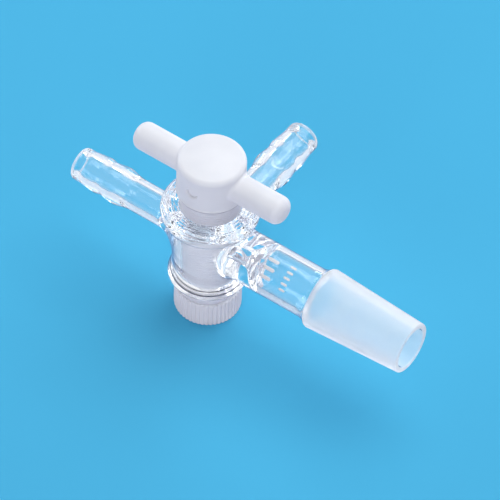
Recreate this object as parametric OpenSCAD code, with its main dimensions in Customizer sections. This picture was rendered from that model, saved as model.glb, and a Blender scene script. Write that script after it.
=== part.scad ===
// Three-way glass stopcock with a turning white plug.
// A glass barrel carries two hose arms and one ground taper joint. A tapered plug
// with a T-shaped way turns in it, and a nut below pulls the plug into its seat.
// Millimetres. +Z runs up the plug, +X to the ground joint, +Y to the side hose arm.
// The origin is the centre of the nut's flat underside, which the part stands on.

/* [Plug] */
// Diameter of the plug where it leaves the top of the barrel
plug_d = 14.4; // [12:0.1:17.5]
// Taper of the plug and its seat: length for one unit of diameter
plug_taper = 10; // [8:0.5:14]
// Radial gap between the plug and its seat
plug_clear = 0.04; // [0.02:0.01:0.08]
// Diameter of the way through the plug and of the ports in the barrel
way_d = 3; // [1.5:0.1:4]
// How far the plug's taper passes below the barrel
plug_past = 0.5; // [0.2:0.1:0.9]
// Height of the plug's collar that shows between the barrel and the handle
collar_h = 4.7; // [3:0.1:8]
// Diameter of the threaded tail
tail_d = 9; // [7:0.1:10.8]
// Depth of the flat cut on the tail, which keys the washer
tail_flat = 0.8; // [0.5:0.1:1.5]
// How far the tail's end stays above the nut's underside
tail_recess = 0.6; // [0.3:0.1:1.5]
// Diameter of the stem that the handle is pressed on
stem_d = 9.6; // [8:0.1:11.6]
// How far the stem reaches above the axis of the bar
stem_past = 2; // [1.6:0.1:3]

/* [Handle] */
// Diameter of the round hub
hub_d = 16; // [13:0.1:20]
// Height of the hub's straight part and rounded edge
hub_h = 10.6; // [8.8:0.1:14]
// Radius of the hub's upper edge
hub_round = 1; // [0.4:0.1:2]
// Rise of the shallow dome on the hub
hub_dome = 0.5; // [0.3:0.1:1]
// Chamfer at the hub's lower edge
hub_chamfer = 0.3; // [0.1:0.1:0.6]
// Diameter of the cross bar
bar_d = 6.9; // [5:0.1:8.3]
// Length of the cross bar
bar_l = 41.4; // [32:0.2:60]
// Radius of the edges of the bar's flat ends
bar_round = 2.3; // [1:0.1:2.4]
// How far the bar's axis lies above the middle of the hub
bar_raise = 0.2; // [0:0.1:0.4]
// Diameter of the pin that locks the handle to the stem
pin_d = 2.5; // [1.5:0.1:3]
// How far each end of the pin lies below the hub's surface
pin_recess = 0.3; // [0.1:0.1:0.6]
// Overlap that makes the stem and the pin tight in the handle
press = 0.02; // [0.01:0.01:0.03]

/* [Barrel] */
// Height of the barrel's rim above the axis of the arms
barrel_up = 11.9; // [9.9:0.1:16]
// Depth of the barrel's foot below the axis of the arms
barrel_down = 12.9; // [10.7:0.1:17]
// Wall of the barrel
barrel_wall = 2.3; // [1.8:0.1:3.5]
// How far the thick bead at the rim stands out from the barrel
bead_out = 2.05; // [1.2:0.05:3.5]
// Height of the bead
bead_h = 4.6; // [3:0.1:5.6]
// Radius of the hollow blend under the bead
bead_blend = 1.6; // [0.8:0.1:2]
// How far the flared foot stands out from the barrel
foot_out = 1.2; // [0.6:0.1:2.5]
// Radius of the round edge of the foot
foot_round = 1.1; // [0.7:0.1:1.5]
// Height of the flare above the barrel's foot
foot_flare = 5; // [3:0.1:6]

/* [Hose arms] */
// Reach of a hose arm from the plug's axis to its tip
hose_reach = 37.2; // [31:0.2:60]
// How much longer the side arm's plain end is
side_extra = 0.9; // [0:0.1:4]
// Diameter of a hose arm's tube
hose_d = 7.9; // [6.5:0.1:9.5]
// Wall of a hose arm
hose_wall = 1.35; // [1:0.05:1.8]
// How far the first ridge, next to the tip, stands out from the tube
ridge_1_out = 0.58; // [0.4:0.02:1.2]
// How far the second ridge stands out from the tube
ridge_2_out = 0.78; // [0.4:0.02:1.2]
// Distance from the tip to the first ridge
ridge_1_at = 6.9; // [6.6:0.1:8.2]
// Distance from the tip to the second ridge
ridge_2_at = 12.3; // [12:0.1:15]
// Length of each ridge's slope on the tip's side, down to the tube
ridge_slope = 5.4; // [3:0.1:5.6]
// Length of the first ridge's slope on the barrel's side
ridge_1_drop = 2.8; // [0.6:0.1:3.2]
// Length of the second ridge's slope on the barrel's side
ridge_2_drop = 3.6; // [1:0.1:4.4]
// How far the plain end beyond the ridges stands out from the tube
tip_out = 0.1; // [0:0.05:0.3]
// How much narrower the mouth is than the tube's bore, because melting draws it in
mouth_draw = 0.8; // [0.2:0.1:1.4]
// Rise of the melted blend where a hose arm leaves the barrel
hose_blend = 1.3; // [0.6:0.1:1.8]

/* [Ground joint] */
// Large diameter of the ground taper
joint_d = 15; // [13.5:0.1:19]
// Length of the ground taper
joint_l = 25; // [16:0.5:40]
// Taper of the joint: length for one unit of diameter
joint_taper = 10; // [10:1:20]
// Distance from the plug's axis to the large end of the taper
joint_at = 31.3; // [26:0.1:50]
// Wall of the ground taper
joint_wall = 1.3; // [1.1:0.05:2]
// Diameter of the clear tube between the barrel and the joint
joint_tube_d = 12.5; // [10.4:0.1:15]
// Wall of the clear tube
joint_tube_wall = 1.35; // [1:0.05:2]
// Length over which the tube swells to the joint
joint_shoulder = 1.4; // [0.8:0.1:3]
// Easing of the edges at both ends of the ground taper
joint_ease = 0.3; // [0.1:0.1:0.6]
// Rise of the melted blend where the clear tube leaves the barrel
joint_blend = 0.9; // [0.4:0.1:1.4]

/* [Washer, ring and nut] */
// Section diameter of the sealing ring before it is squeezed
ring_section = 1.4; // [1.1:0.05:2]
// How much the barrel and the washer squeeze the ring's height
ring_squeeze = 0.2; // [0.05:0.05:0.4]
// Radial gap between the ring and the end of the plug
ring_clear = 0.08; // [0.05:0.01:0.2]
// How far the washer reaches past the ring
washer_over = 0.05; // [0:0.05:2]
// Thickness of the washer
washer_t = 2.2; // [1:0.1:3]
// Chamfer on the washer's edges
washer_chamfer = 0.4; // [0.2:0.05:0.6]
// Diameter of the nut over its ribs
nut_d = 15.8; // [13:0.1:19]
// Height of the nut
nut_h = 6.9; // [5:0.1:10]
// Chamfer on the nut's edges
nut_chamfer = 0.25; // [0.2:0.05:0.6]
// Number of ribs round the nut
rib_count = 48; // [24:1:60]
// Depth of the grooves between the ribs
rib_depth = 0.35; // [0.2:0.05:0.5]
// Radial gap between the tail and what slides on it
tail_clear = 0.05; // [0.03:0.01:0.09]

/* [Hidden] */
$fn = 96;
cut = 1; // how far a cutting shape passes the face it opens

// Heights above the nut's underside
washer_z = nut_h;
ring_z = washer_z + washer_t;
foot_z = ring_z + ring_section - ring_squeeze;
arm_z = foot_z + barrel_down;
rim_z = arm_z + barrel_up;
plug_end_z = foot_z - plug_past;
hub_z = rim_z + collar_h;
bar_up = hub_h / 2 + bar_raise;
bar_z = hub_z + bar_up;
stem_h = bar_up + stem_past;

// Radius of the plug, of its seat and of the barrel at a height
function plug_r(z) = (plug_d - (rim_z - z) / plug_taper) / 2;
function seat_r(z) = plug_r(z) + plug_clear;
function barrel_r(z) = seat_r(z) + barrel_wall;

// Radius of the ground taper at a distance from its large end
function joint_r(s) = (joint_d - s / joint_taper) / 2;

bead_r = barrel_r(rim_z) + bead_out;
bead_round = bead_h / 2;
foot_r = barrel_r(foot_z) + foot_out;
hose_r = hose_d / 2;
hose_bore_r = hose_r - hose_wall;
mouth_r = hose_bore_r - mouth_draw / 2;
tip_r = hose_r + tip_out;
lip_round = (tip_r - mouth_r) / 2;
tube_r = joint_tube_d / 2;
tube_bore_r = tube_r - joint_tube_wall;
joint_tip = joint_at + joint_l;
ring_r = plug_r(foot_z) + ring_clear + ring_section / 2;
washer_d = 2 * (ring_r + ring_section / 2 + washer_over);

// Where the arms leave the barrel, where their hollows begin and how far the blends run
root_r = barrel_r(arm_z);
hollow_at = root_r + 1;
neck = 3;
blend_run = 3;

// Lays a shape drawn along +Z on the axis of an arm that points in a direction
module along(direction) {
    angles = direction == "x" ? [0, 90, 0] : direction == "-x" ? [0, -90, 0] : [-90, 0, 0];
    translate([0, 0, arm_z]) rotate(angles) children();
}

// ---- glass body ----

// The barrel's solid section, with the bead at the rim and the flared foot
module barrel_section() {
    flare_z = foot_z + foot_flare;
    polygon([
        [0, foot_z], [barrel_r(foot_z), foot_z],
        [barrel_r(rim_z), rim_z], [0, rim_z]
    ]);
    // bead
    translate([bead_r - bead_round, rim_z - bead_round]) circle(bead_round);
    translate([0, rim_z - bead_h]) square([bead_r - bead_round, bead_h]);
    bead_blend_section();
    // flared foot
    translate([foot_r - foot_round, foot_z + foot_round]) circle(foot_round);
    translate([0, foot_z]) square([foot_r - foot_round, 2 * foot_round]);
    polygon([
        [0, foot_z + foot_round], [foot_r, foot_z + foot_round],
        [barrel_r(flare_z), flare_z], [0, flare_z]
    ]);
}

// Hollow blend that fills the corner between the barrel and the bead's underside
module bead_blend_section() {
    low_z = rim_z - bead_h - bead_blend;
    blend_r = barrel_r(low_z) + bead_blend;
    difference() {
        translate([0, low_z])
            square([min(blend_r, bead_r - bead_round), bead_blend + bead_round]);
        translate([blend_r, low_z]) circle(bead_blend);
    }
}

// Outline of an arm's root, from the plug's axis to the plain tube. The thick part
// stays straight up to a distance from the axis, and then blends into the tube.
function root_points(r, rise, straight) = [
    [0, 0], [r + rise, 0], [r + rise, straight],
    [r + rise / 3, root_r + blend_run / 4], [r, root_r + blend_run]
];

// Half section of one ridge: its foot on the barrel's side, its crest and its other foot
module ridge_section(at, drop, out) {
    polygon([
        [0, at - drop], [hose_r, at - drop], [hose_r + out, at],
        [hose_r, at + ridge_slope], [0, at + ridge_slope]
    ]);
}

// Outside of a hose arm, from the plug's axis to its tip
module hose_outside(extra = 0) {
    lip = hose_reach + extra - lip_round;
    ridge_1 = hose_reach - ridge_1_at;
    ridge_2 = hose_reach - ridge_2_at;
    rotate_extrude() {
        polygon(concat(
            root_points(hose_r, hose_blend, root_r - blend_run / 2),
            [[hose_r, lip], [0, lip]]
        ));
        ridge_section(ridge_2, ridge_2_drop, ridge_2_out);
        ridge_section(ridge_1, ridge_1_drop, ridge_1_out);
        translate([0, ridge_1]) square([tip_r, lip - ridge_1]);
        translate([tip_r - lip_round, lip]) circle(lip_round);
    }
}

// Hollow of a hose arm: port, funnel, tube and the drawn-in mouth
module hose_hollow(extra = 0) {
    lip = hose_reach + extra - lip_round;
    end = hose_reach + extra + cut;
    rotate_extrude()
        polygon([
            [0, 0], [way_d / 2, 0], [way_d / 2, hollow_at],
            [hose_bore_r, hollow_at + neck], [hose_bore_r, lip - 2 * lip_round],
            [mouth_r, lip], [mouth_r, end], [0, end]
        ]);
}

// Outside of the arm with the ground joint
module joint_outside() {
    rotate_extrude()
        polygon(concat(
            root_points(tube_r, joint_blend, root_r - blend_run),
            [
                [tube_r, joint_at - joint_shoulder],
                [joint_r(0) - joint_ease, joint_at - joint_ease], [joint_r(0), joint_at],
                [joint_r(joint_l - joint_ease), joint_tip - joint_ease],
                [joint_r(joint_l) - joint_ease, joint_tip], [0, joint_tip]
            ]
        ));
}

// Hollow of the arm with the ground joint: port, round end, tube and taper
module joint_hollow() {
    tube_start = hollow_at + neck + tube_bore_r;
    rotate_extrude() {
        square([way_d / 2, tube_start]);
        intersection() {
            translate([0, tube_start]) circle(tube_bore_r);
            square([tube_bore_r, tube_start]);
        }
        polygon([
            [0, tube_start], [tube_bore_r, tube_start],
            [tube_bore_r, joint_at - joint_shoulder],
            [joint_r(joint_shoulder) - joint_wall, joint_at + joint_shoulder],
            [joint_r(joint_l) - joint_wall, joint_tip],
            [joint_r(joint_l) - joint_wall, joint_tip + cut], [0, joint_tip + cut]
        ]);
    }
}

// Tapered seat for the plug, open at both ends
module seat() {
    translate([0, 0, foot_z - cut])
        cylinder(
            h = rim_z - foot_z + 2 * cut,
            r1 = seat_r(foot_z - cut),
            r2 = seat_r(rim_z + cut)
        );
}

// One fused glass piece: barrel, two hose arms and the ground joint
module glass_body() {
    color([0.80, 0.92, 0.97, 0.45])
        difference() {
            union() {
                rotate_extrude() barrel_section();
                along("-x") hose_outside();
                along("y") hose_outside(side_extra);
                along("x") joint_outside();
            }
            seat();
            along("-x") hose_hollow();
            along("y") hose_hollow(side_extra);
            along("x") joint_hollow();
        }
}

// ---- plug and handle ----

// Tail as a round with one flat; grow widens it for the holes that slide on it
module tail_outline(grow = 0) {
    flat_y = tail_d / 2 - tail_flat + grow;
    intersection() {
        circle(d = tail_d + 2 * grow);
        translate([-tail_d, flat_y - 2 * tail_d]) square([2 * tail_d, 2 * tail_d]);
    }
}

// Plug: tail, taper, collar and stem, with the T-shaped way through it
module plug() {
    color([0.96, 0.97, 0.98])
        difference() {
            union() {
                translate([0, 0, tail_recess])
                    linear_extrude(plug_end_z - tail_recess + cut) tail_outline();
                translate([0, 0, plug_end_z])
                    cylinder(h = rim_z - plug_end_z, r1 = plug_r(plug_end_z), r2 = plug_d / 2);
                translate([0, 0, rim_z]) cylinder(h = collar_h, d = plug_d);
                translate([0, 0, hub_z - cut]) cylinder(h = stem_h + cut, d = stem_d);
            }
            translate([0, 0, arm_z]) rotate([0, 90, 0])
                cylinder(h = 2 * plug_d, d = way_d, center = true);
            translate([0, 0, arm_z]) rotate([-90, 0, 0]) cylinder(h = plug_d, d = way_d);
            pin_hole();
        }
}

// Hole across the hub and the stem, at the height of the bar
module pin_hole() {
    translate([0, 0, bar_z]) rotate([90, 0, 0])
        cylinder(h = hub_d + 2 * cut, d = pin_d - 2 * press, center = true);
}

// Half section of the hub: round upper edge, shallow dome and lower chamfer
module hub_section() {
    hub_r = hub_d / 2;
    top_r = hub_r - hub_round;
    dome_r = (top_r * top_r + hub_dome * hub_dome) / (2 * hub_dome);
    polygon([
        [0, 0], [hub_r - hub_chamfer, 0], [hub_r, hub_chamfer],
        [hub_r, hub_h - hub_round], [0, hub_h - hub_round]
    ]);
    square([top_r, hub_h]);
    translate([top_r, hub_h - hub_round]) circle(hub_round);
    intersection() {
        translate([0, hub_h + hub_dome - dome_r]) circle(dome_r);
        translate([0, hub_h - hub_round]) square([top_r, hub_round + hub_dome]);
    }
}

// Half section of the bar along its axis: straight, with flat ends whose edges are rounded
module bar_section() {
    bar_r = bar_d / 2;
    flat_r = bar_r - bar_round;
    straight = bar_l / 2 - bar_round;
    translate([0, -straight]) square([bar_r, 2 * straight]);
    translate([0, -bar_l / 2]) square([flat_r, bar_l]);
    for (side = [-1, 1])
        intersection() {
            translate([flat_r, side * straight]) circle(bar_round);
            translate([0, -bar_l / 2]) square([bar_r, bar_l]);
        }
}

// Handle: hub and cross bar moulded in one, with the socket for the stem
module handle() {
    color([0.97, 0.98, 1.00])
        difference() {
            union() {
                translate([0, 0, hub_z]) rotate_extrude() hub_section();
                translate([0, 0, bar_z]) rotate([0, 90, 0]) rotate_extrude() bar_section();
            }
            translate([0, 0, hub_z - cut])
                cylinder(h = stem_h + cut, d = stem_d - 2 * press);
            pin_hole();
        }
}

// Pin that locks the handle to the stem
module handle_pin() {
    color([0.90, 0.91, 0.95])
        translate([0, 0, bar_z]) rotate([90, 0, 0])
            cylinder(h = hub_d - 2 * pin_recess, d = pin_d, center = true);
}

// ---- what holds the plug down ----

// Sealing ring round the plug's lower end, squeezed flat above and below
module o_ring() {
    ring_h = foot_z - ring_z;
    color([0.70, 0.69, 0.80])
        rotate_extrude()
            intersection() {
                translate([ring_r, ring_z + ring_h / 2]) circle(d = ring_section);
                translate([0, ring_z]) square([washer_d, ring_h]);
            }
}

// Disc with chamfered edges
module chamfered_disc(d, h, chamfer) {
    rotate_extrude()
        polygon([
            [0, 0], [d / 2 - chamfer, 0], [d / 2, chamfer],
            [d / 2, h - chamfer], [d / 2 - chamfer, h], [0, h]
        ]);
}

// Washer with a flat-sided hole, so it turns with the plug
module washer() {
    color([0.95, 0.95, 0.97])
        difference() {
            translate([0, 0, washer_z]) chamfered_disc(washer_d, washer_t, washer_chamfer);
            translate([0, 0, washer_z - cut])
                linear_extrude(washer_t + 2 * cut) tail_outline(tail_clear);
        }
}

// Ribbed nut that runs on the tail
module nut() {
    groove_r = PI * nut_d / rib_count / 4;
    color([0.96, 0.96, 0.99])
        difference() {
            intersection() {
                chamfered_disc(nut_d, nut_h, nut_chamfer);
                translate([0, 0, -cut]) linear_extrude(nut_h + 2 * cut)
                    difference() {
                        circle(d = nut_d + cut);
                        for (i = [0:rib_count - 1])
                            rotate(i * 360 / rib_count)
                                translate([nut_d / 2 - rib_depth + groove_r, 0])
                                    circle(groove_r);
                    }
            }
            translate([0, 0, -cut]) cylinder(h = nut_h + 2 * cut, d = tail_d + 2 * tail_clear);
        }
}

glass_body();
plug();
handle();
handle_pin();
o_ring();
washer();
nut();
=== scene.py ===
"""Looks of the three-way glass stopcock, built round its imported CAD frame.

Shapes are worked out in millimetres in the frame's own axes and turned into metres when a mesh is made:
+Z up the plug, +X to the ground joint, +Y to the side hose arm, origin under the nut.
"""

import math

import bpy
import numpy as np
from mathutils import Matrix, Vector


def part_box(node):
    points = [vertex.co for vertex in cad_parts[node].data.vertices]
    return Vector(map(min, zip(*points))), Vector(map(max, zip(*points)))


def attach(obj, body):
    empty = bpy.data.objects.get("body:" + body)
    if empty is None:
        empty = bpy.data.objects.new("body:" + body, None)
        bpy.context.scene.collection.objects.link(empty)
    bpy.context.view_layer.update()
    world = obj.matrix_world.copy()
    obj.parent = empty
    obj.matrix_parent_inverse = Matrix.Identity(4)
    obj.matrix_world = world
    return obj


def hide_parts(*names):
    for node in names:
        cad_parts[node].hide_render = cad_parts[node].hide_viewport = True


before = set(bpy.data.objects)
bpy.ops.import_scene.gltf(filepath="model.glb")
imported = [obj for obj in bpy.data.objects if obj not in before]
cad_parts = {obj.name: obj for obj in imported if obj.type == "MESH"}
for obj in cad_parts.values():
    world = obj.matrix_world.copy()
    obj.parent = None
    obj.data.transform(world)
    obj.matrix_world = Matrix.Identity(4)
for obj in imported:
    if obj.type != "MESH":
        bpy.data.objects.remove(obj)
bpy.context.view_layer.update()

MM = 0.001


def box_mm(node):
    low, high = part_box(node)
    return np.array(low) / MM, np.array(high) / MM


# ---- sizes, from the frame's solids and the part's own dimensions ----

GLASS_LOW, GLASS_HIGH = box_mm("glass_body")
PLUG_LOW, PLUG_HIGH = box_mm("plug")
HANDLE_LOW, HANDLE_HIGH = box_mm("handle")
PIN_LOW, PIN_HIGH = box_mm("handle_pin")
RING_LOW, RING_HIGH = box_mm("o_ring")
WASHER_LOW, WASHER_HIGH = box_mm("washer")
NUT_TOP = box_mm("nut")[1][2]

BARREL_DOWN = 12.9  # from the arms' axis to the barrel's foot
FOOT_Z, RIM_Z = GLASS_LOW[2], GLASS_HIGH[2]
ARM_Z = FOOT_Z + BARREL_DOWN
HUB_Z = HANDLE_LOW[2]
BAR_Z = (PIN_LOW[2] + PIN_HIGH[2]) / 2

PLUG_R_TOP = 7.2
PLUG_TAPER = 10  # length for one unit of diameter
SEAT_GAP = 0.04
WALL = 2.3
WAY_R = 1.5
BEAD_R = 11.58
BEAD_ROUND = 2.3
BEAD_BLEND = 1.6
FOOT_OUT = 1.2
FOOT_FLARE = 5
FOOT_LAND = 0.6  # height of the foot at its full width
FOOT_ROUND = 1.1

HOSE_R = 3.95
TIP_R = 4.05
HOSE_BORE_R = 2.6
MOUTH_R = 2.2
MOUTH_DRAW = 2.6  # length over which melting has drawn the mouth in
LIP_R = (TIP_R - MOUTH_R) / 2
LIP_MID_R = (TIP_R + MOUTH_R) / 2
SIDE_TIP = GLASS_HIGH[1]
LEFT_TIP = -GLASS_LOW[0]
# each ridge: distance from the plug's axis, slope on the barrel's side, slope on the tip's side, height
RIDGES = ((30.3, 2.8, 5.4, 0.7), (24.9, 3.6, 5.4, 0.88))
CREST_SOFT = 0.22  # how much melting has rounded a ridge's crest, its foot, and where two ridges meet
SLOPE_SOFT = 0.12
MEET_SOFT = 0.08
PLAIN_TIP = (34.2, 35.4)  # where the ridges' last slope has run out into the plain end
HOLLOW_AT = 9.95  # where the narrow port starts to widen into a hose arm's bore
NECK = 3.0

TUBE_R = 6.25
TUBE_BORE_R = 4.9
JOINT_AT = 31.3
JOINT_TIP = GLASS_HIGH[0]
JOINT_R = 7.5
JOINT_TAPER = 10
JOINT_WALL = 1.3
JOINT_SHOULDER = 1.4
JOINT_EASE = 0.35
TUBE_PAST = 1  # how far the tube's outside runs on under the taper
DOME_AT = HOLLOW_AT + NECK + TUBE_BORE_R
DOME_PAST = 4  # beyond this the bore follows the taper and no longer the dome

HOSE_FILLET = 3.4
JOINT_FILLET = 2.2
SHOULDER_FILLET = 0.9
PORT_FILLET = 1.2
BORE_EDGE = 0.3
SEAT_EDGE = 0.2


def plug_r(z):
    return PLUG_R_TOP - (RIM_Z - z) / PLUG_TAPER / 2


def smooth(t):
    t = np.clip(t, 0, 1)
    return t * t * (3 - 2 * t)


# ---- signed distance fields and their mesh ----


def join(a, b, r):
    """Union of two fields with a round fillet of radius r."""
    return np.maximum(r, np.minimum(a, b)) - np.hypot(np.maximum(r - a, 0), np.maximum(r - b, 0))


def meet(a, b, r):
    """Intersection of two fields with a round edge of radius r."""
    return -join(-a, -b, r)


def cell_beside(axis, index, back_a, back_b):
    """Cells beside crossed grid edges along an axis, so many cells back along each of the two other axes."""
    cell = list(index)
    a, b = (n for n in range(3) if n != axis)
    cell[a] = cell[a] - back_a
    cell[b] = cell[b] - back_b
    return tuple(cell)


def value_and_slope(field, points, step=0.01):
    x, y, z = points.T
    value = field(x, y, z)
    slope = np.stack(
        [
            field(x + step, y, z) - field(x - step, y, z),
            field(x, y + step, z) - field(x, y - step, z),
            field(x, y, z + step) - field(x, y, z - step),
        ],
        1,
    ) / (2 * step)
    return value, slope


def nets(field, xs, ys, zs):
    """Mesh of the surface field = 0 on a grid of planes: points on the surface, their normals and quads."""
    axes = (xs, ys, zs)
    values = field(xs[:, None, None], ys[None, :, None], zs[None, None, :])
    inside = values < 0
    cells = tuple(n - 1 for n in values.shape)
    total = np.zeros(cells + (3,))
    count = np.zeros(cells)
    crossings = []
    for axis in range(3):
        low = [slice(None)] * 3
        high = [slice(None)] * 3
        low[axis], high[axis] = slice(None, -1), slice(1, None)
        a, b = values[tuple(low)], values[tuple(high)]
        index = np.nonzero(inside[tuple(low)] != inside[tuple(high)])
        va, vb = a[index], b[index]
        point = np.stack([axes[n][index[n]] for n in range(3)], 1).astype(float)
        width = axes[axis][index[axis] + 1] - axes[axis][index[axis]]
        point[:, axis] += va / (va - vb) * width
        for back_a in (0, 1):
            for back_b in (0, 1):
                cell = cell_beside(axis, index, back_a, back_b)
                np.add.at(total, cell, point)
                np.add.at(count, cell, 1)
        crossings.append((axis, index, va < 0))
    used = count > 0
    number = np.full(cells, -1, dtype=np.int64)
    number[used] = np.arange(int(used.sum()))
    points = total[used] / count[used][:, None]
    for _ in range(4):
        value, slope = value_and_slope(field, points)
        points -= (value / np.maximum((slope**2).sum(1), 1e-9))[:, None] * slope
    _, slope = value_and_slope(field, points)
    normals = slope / np.linalg.norm(slope, axis=1)[:, None]
    quads = []
    for axis, index, inward in crossings:
        corners = [number[cell_beside(axis, index, a, b)] for a, b in ((1, 1), (0, 1), (0, 0), (1, 0))]
        quad = np.stack(corners, 1)
        keep = inward if axis != 1 else ~inward
        quad[~keep] = quad[~keep][:, ::-1]
        quads.append(quad)
    return points, normals, np.concatenate(quads)


def planes(*stops):
    """Grid planes: each stop is a place and the spacing from it to the next stop."""
    out = []
    for (a, width), (b, _) in zip(stops, stops[1:]):
        n = max(1, round((b - a) / width))
        out.append(np.linspace(a, b, n, endpoint=False))
    out.append([stops[-1][0]])
    return np.concatenate(out)


def make_piece(name, points, faces, normals=None):
    mesh = bpy.data.meshes.new(name)
    points = np.asarray(points, float) * MM
    if isinstance(faces, np.ndarray):
        mesh.vertices.add(len(points))
        mesh.vertices.foreach_set("co", points.ravel())
        size = faces.shape[1]
        mesh.loops.add(faces.size)
        mesh.loops.foreach_set("vertex_index", faces.ravel().astype(np.int32))
        mesh.polygons.add(len(faces))
        mesh.polygons.foreach_set("loop_start", np.arange(0, faces.size, size, dtype=np.int32))
        mesh.update(calc_edges=True)
        mesh.validate()
    else:
        mesh.from_pydata(points.tolist(), [], [list(map(int, f)) for f in faces])
        mesh.update()
    mesh.polygons.foreach_set("use_smooth", [True] * len(mesh.polygons))
    if normals is not None:
        mesh.normals_split_custom_set_from_vertices(normals.tolist())
    obj = bpy.data.objects.new(name, mesh)
    bpy.context.scene.collection.objects.link(obj)
    return obj


# ---- glass body ----


def ridge(s):
    """How far the ridges stand out of a hose arm at a distance from the plug's axis."""
    out = 0 * s
    for at, before, after, height in RIDGES:
        rise, fall = (s - at + before) / before, (at + after - s) / after
        crest = (rise + fall - np.hypot(rise - fall, CREST_SOFT)) / 2
        stand = height * (crest + np.hypot(crest, SLOPE_SOFT)) / 2
        out = (out + stand + np.hypot(out - stand, MEET_SOFT) - MEET_SOFT) / 2
    end = smooth((s - PLAIN_TIP[0]) / (PLAIN_TIP[1] - PLAIN_TIP[0]))
    return out * (1 - end) + (TIP_R - HOSE_R) * end


def hose_outer(r, s, tip):
    lip = tip - LIP_R
    tube = r - HOSE_R - ridge(s)
    end = np.hypot(np.maximum(r - LIP_MID_R, 0), s - lip) - LIP_R
    return np.maximum(np.where(s > lip, end, tube), -s)


def hose_inner(r, s, tip):
    lip = tip - LIP_R
    bore = (
        WAY_R
        + (HOSE_BORE_R - WAY_R) * smooth((s - HOLLOW_AT) / NECK)
        - (HOSE_BORE_R - MOUTH_R) * smooth((s - lip + MOUTH_DRAW) / MOUTH_DRAW)
    )
    end = LIP_R - np.hypot(np.maximum(LIP_MID_R - r, 0), s - lip)
    return np.maximum(np.where(s > lip, end, r - bore), -s)


def joint_cone_r(s):
    return JOINT_R - (s - JOINT_AT) / JOINT_TAPER / 2


def joint_outer(r, s):
    tube = np.maximum(r - TUBE_R, s - JOINT_AT - TUBE_PAST)
    start = JOINT_AT - JOINT_SHOULDER
    rise = (JOINT_R - TUBE_R) / JOINT_SHOULDER
    shoulder = (r - TUBE_R - (s - start) * rise) / math.hypot(1, rise)
    cone = meet(r - joint_cone_r(s), shoulder, JOINT_EASE)
    body = meet(join(tube, cone, SHOULDER_FILLET), s - JOINT_TIP, JOINT_EASE)
    return np.maximum(body, -s)


def joint_inner(r, s):
    tube = np.where(s > DOME_AT, r - TUBE_BORE_R, np.hypot(r, s - DOME_AT) - TUBE_BORE_R)
    port = join(r - WAY_R, tube, PORT_FILLET)
    wide = joint_cone_r(JOINT_AT + JOINT_SHOULDER) - JOINT_WALL - TUBE_BORE_R
    t = smooth((s - JOINT_AT + JOINT_SHOULDER) / (2 * JOINT_SHOULDER))
    fall = np.maximum(s - JOINT_AT - JOINT_SHOULDER, 0) / JOINT_TAPER / 2
    bore = TUBE_BORE_R + wide * t - fall
    field = np.where(s > DOME_AT + DOME_PAST, r - bore, port)
    return np.maximum(field, -s)


def barrel_outer(r, z):
    wall_r = plug_r(z) + SEAT_GAP + WALL
    flare = FOOT_OUT * smooth((FOOT_Z + FOOT_FLARE - z) / (FOOT_FLARE - FOOT_LAND))
    wall = meet(r - wall_r - flare, FOOT_Z - z, FOOT_ROUND)
    bead = np.hypot(np.maximum(r - BEAD_R + BEAD_ROUND, 0), z - RIM_Z + BEAD_ROUND) - BEAD_ROUND
    return np.maximum(join(wall, bead, BEAD_BLEND), z - RIM_Z)


def glass_field(x, y, z):
    h = z - ARM_Z
    r_axis = np.hypot(x, y)
    r_x = np.hypot(y, h)
    r_y = np.hypot(x, h)
    body = barrel_outer(r_axis, z)
    body = join(body, hose_outer(r_x, -x, LEFT_TIP), HOSE_FILLET)
    body = join(body, hose_outer(r_y, y, SIDE_TIP), HOSE_FILLET)
    body = join(body, joint_outer(r_x, x), JOINT_FILLET)
    seat = r_axis - plug_r(z) - SEAT_GAP
    hollow = np.minimum(hose_inner(r_x, -x, LEFT_TIP), hose_inner(r_y, y, SIDE_TIP))
    hollow = np.minimum(hollow, joint_inner(r_x, x))
    body = meet(body, -hollow, BORE_EDGE)
    return meet(body, -seat, SEAT_EDGE)


COARSE = 1.0


def spacing(size):
    return size * COARSE


ROOTS_REACH = 14.4  # the melted roots of the arms lie within this
PLAIN_REACH = 20.5  # the arms are plain tubes up to this

# the grid is closest at the lips, the roots and the edges of the ground taper
glass_points, glass_normals, glass_quads = nets(
    glass_field,
    planes(
        (-LEFT_TIP - 1, spacing(0.3)), (-LEFT_TIP + 2.5, spacing(0.6)),
        (-LEFT_TIP + 3.5, spacing(0.42)), (-PLAIN_REACH, spacing(0.6)),
        (-ROOTS_REACH, spacing(0.31)), (ROOTS_REACH, spacing(0.5)), (20, spacing(0.85)),
        (JOINT_AT - 2.4, spacing(0.2)), (JOINT_AT + 0.6, spacing(0.7)),
        (JOINT_TIP - 1.2, spacing(0.2)), (JOINT_TIP + 1, 1),
    ),
    planes(
        (-13, spacing(0.31)), (ROOTS_REACH, spacing(0.6)), (PLAIN_REACH, spacing(0.42)),
        (SIDE_TIP - 4.4, spacing(0.6)), (SIDE_TIP - 2.5, spacing(0.3)), (SIDE_TIP + 1, 1),
    ),
    planes((FOOT_Z - 0.5, spacing(0.3)), (RIM_Z + 0.5, 1)),
)
glass = make_piece("glass", glass_points, glass_quads, glass_normals)

# ---- handle ----

HUB_R = 8
HUB_ROUND = 1.1
HUB_DOME = 0.5
DOME_R = 7
HUB_LOW_ROUND = 0.8
SKIRT_OUT = 0.16  # the hub's lower edge stands proud by this
SKIRT_TOP = 1.25
SKIRT_SLOPE = 0.3
BAR_R = 3.45
BAR_ROUND = 2.3
BAR_FILLET = 0.6
SOCKET_R = 4.82
SOCKET_UP = 2.05  # how far the stem's socket reaches above the bar's axis
PIN_HOLE_R = 1.26
PIN_HOLE_ROUND = 0.6


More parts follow.
